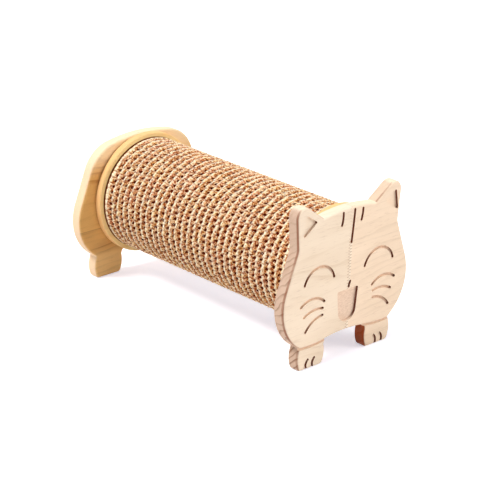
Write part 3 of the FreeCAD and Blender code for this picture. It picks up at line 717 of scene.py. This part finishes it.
def loose_fibres():
    """Stray fibres that stand a little out of the yarns, as plant yarn always has."""
    start = rng.uniform(0, 2 * math.pi, FIBRES)
    place = rng.uniform(MAT_LOW[1] + FIBRE_LENGTH, MAT_HIGH[1] - FIBRE_LENGTH, FIBRES)
    heading = rng.uniform(0, 2 * math.pi, FIBRES)[:, None]
    length = FIBRE_LENGTH * rng.uniform(FIBRE_SHORTEST, 1.0, FIBRES)[:, None]
    lift = FIBRE_LIFT * rng.uniform(FIBRE_LOWEST, 1.0, FIBRES)[:, None]
    run = np.linspace(-0.5, 0.5, FIBRE_STEPS + 1)
    arch = 1 - (2 * run) ** 2
    bow = rng.normal(0, FIBRE_BOW, FIBRES)[:, None] * length * arch
    ahead = length * run
    down_drum = ahead * np.cos(heading) - bow * np.sin(heading)
    round_drum = ahead * np.sin(heading) + bow * np.cos(heading)

    # The last axis holds the two edges of a fibre
    edges = FIBRE_WIDTH / 2 * np.array([-1.0, 1.0])
    heading = heading[..., None]
    aside = round_drum[..., None] + edges * np.cos(heading)
    along = place[:, None, None] + down_drum[..., None] - edges * np.sin(heading)
    radius = np.broadcast_to((MAT_RADIUS - FIBRE_ROOT + lift * arch)[..., None], aside.shape)
    points = round_axis(radius, start[:, None, None] + aside / radius, along)
    faces = grid_faces(len(run), len(edges), FIBRES)
    return new_piece("loose_fibres", points, faces, single_fibre())


def mat():
    """The sisal mat: a ground cloth with its weave, in place of the plain CAD sheet."""
    backing = mat_backing()
    row_shift = rng.uniform(-ROW_SHIFT, ROW_SHIFT, ROWS)
    weave = [mat_yarns(row_shift), binding_threads(row_shift), loose_fibres()]
    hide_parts("sisal_mat")


def shown(tree):
    """1 where a surface is seen directly, in a reflection or through glass, and 0 where it gives light."""
    rays = tree.nodes.new("ShaderNodeLightPath")
    result = rays.outputs["Is Camera Ray"]
    for other in ("Is Glossy Ray", "Is Transmission Ray"):
        either = tree.nodes.new("ShaderNodeMath")
        either.operation = "MAXIMUM"
        tree.links.new(result, either.inputs[0])
        tree.links.new(rays.outputs[other], either.inputs[1])
        result = either.outputs[0]
    return result


def floor():
    """A pale floor that looks white and still takes the shadow."""
    nodes = Nodes("floor")
    nodes.finish(FLOOR_COLOUR, 0.9, Specular_IOR_Level=0.0)
    glow = nodes.add("ShaderNodeEmission", {"Color": FLOOR_GLOW_COLOUR,
                                            "Strength": nodes.times(shown(nodes.tree), FLOOR_GLOW)})
    both = nodes.add("ShaderNodeAddShader", {0: nodes.shader.outputs[0], 1: glow.outputs[0]})
    nodes.put(nodes.tree.nodes["Material Output"].inputs["Surface"], both.outputs[0])
    bpy.ops.mesh.primitive_plane_add(size=FLOOR_SIZE, location=(0, 0, -FLOOR_DROP))
    plane = bpy.context.object
    plane.name = "floor"
    plane.data.materials.append(nodes.material)


def surroundings():
    """White where they are seen, and a weaker white as a source of light."""
    world = bpy.data.worlds.new("surroundings")
    world.use_nodes = True
    bpy.context.scene.world = world
    tree = world.node_tree
    background = tree.nodes["Background"]
    level = tree.nodes.new("ShaderNodeMapRange")
    tree.links.new(shown(tree), level.inputs["Value"])
    level.inputs["To Min"].default_value = SKY_STRENGTH
    level.inputs["To Max"].default_value = 1.0
    tree.links.new(level.outputs["Result"], background.inputs["Strength"])
    background.inputs["Color"].default_value = (1.0, 1.0, 1.0, 1.0)


def lights():
    """Three broad lights."""
    for name, (source, strength, spread) in LIGHTS.items():
        lamp = bpy.data.lights.new(name, "SUN")
        lamp.energy = strength
        lamp.angle = spread
        light = bpy.data.objects.new(name, lamp)
        light.rotation_euler = Vector(source).to_track_quat("Z", "Y").to_euler()
        bpy.context.scene.collection.objects.link(light)


def camera():
    """The camera that the photograph was solved for."""
    lens = bpy.data.cameras.new("photo_camera")
    lens.lens = CAMERA_LENS
    lens.sensor_width = SENSOR
    lens.sensor_fit = "HORIZONTAL"
    ahead = Vector((math.sin(CAMERA_YAW) * math.cos(CAMERA_PITCH),
                    math.cos(CAMERA_YAW) * math.cos(CAMERA_PITCH), -math.sin(CAMERA_PITCH)))
    level = Vector((math.cos(CAMERA_YAW), -math.sin(CAMERA_YAW), 0))
    upward = level.cross(ahead)
    right = level * math.cos(CAMERA_ROLL) + upward * math.sin(CAMERA_ROLL)
    up = upward * math.cos(CAMERA_ROLL) - level * math.sin(CAMERA_ROLL)
    turn = Matrix((right, up, -ahead)).transposed().to_4x4()
    view = bpy.data.objects.new("photo_camera", lens)
    view.matrix_world = Matrix.Translation(CAMERA_PLACE) @ turn
    bpy.context.scene.collection.objects.link(view)
    bpy.context.scene.camera = view


bpy.context.scene.view_settings.view_transform = "Standard"
dress_hard_pieces()
mat()
floor()
surroundings()
lights()
camera()
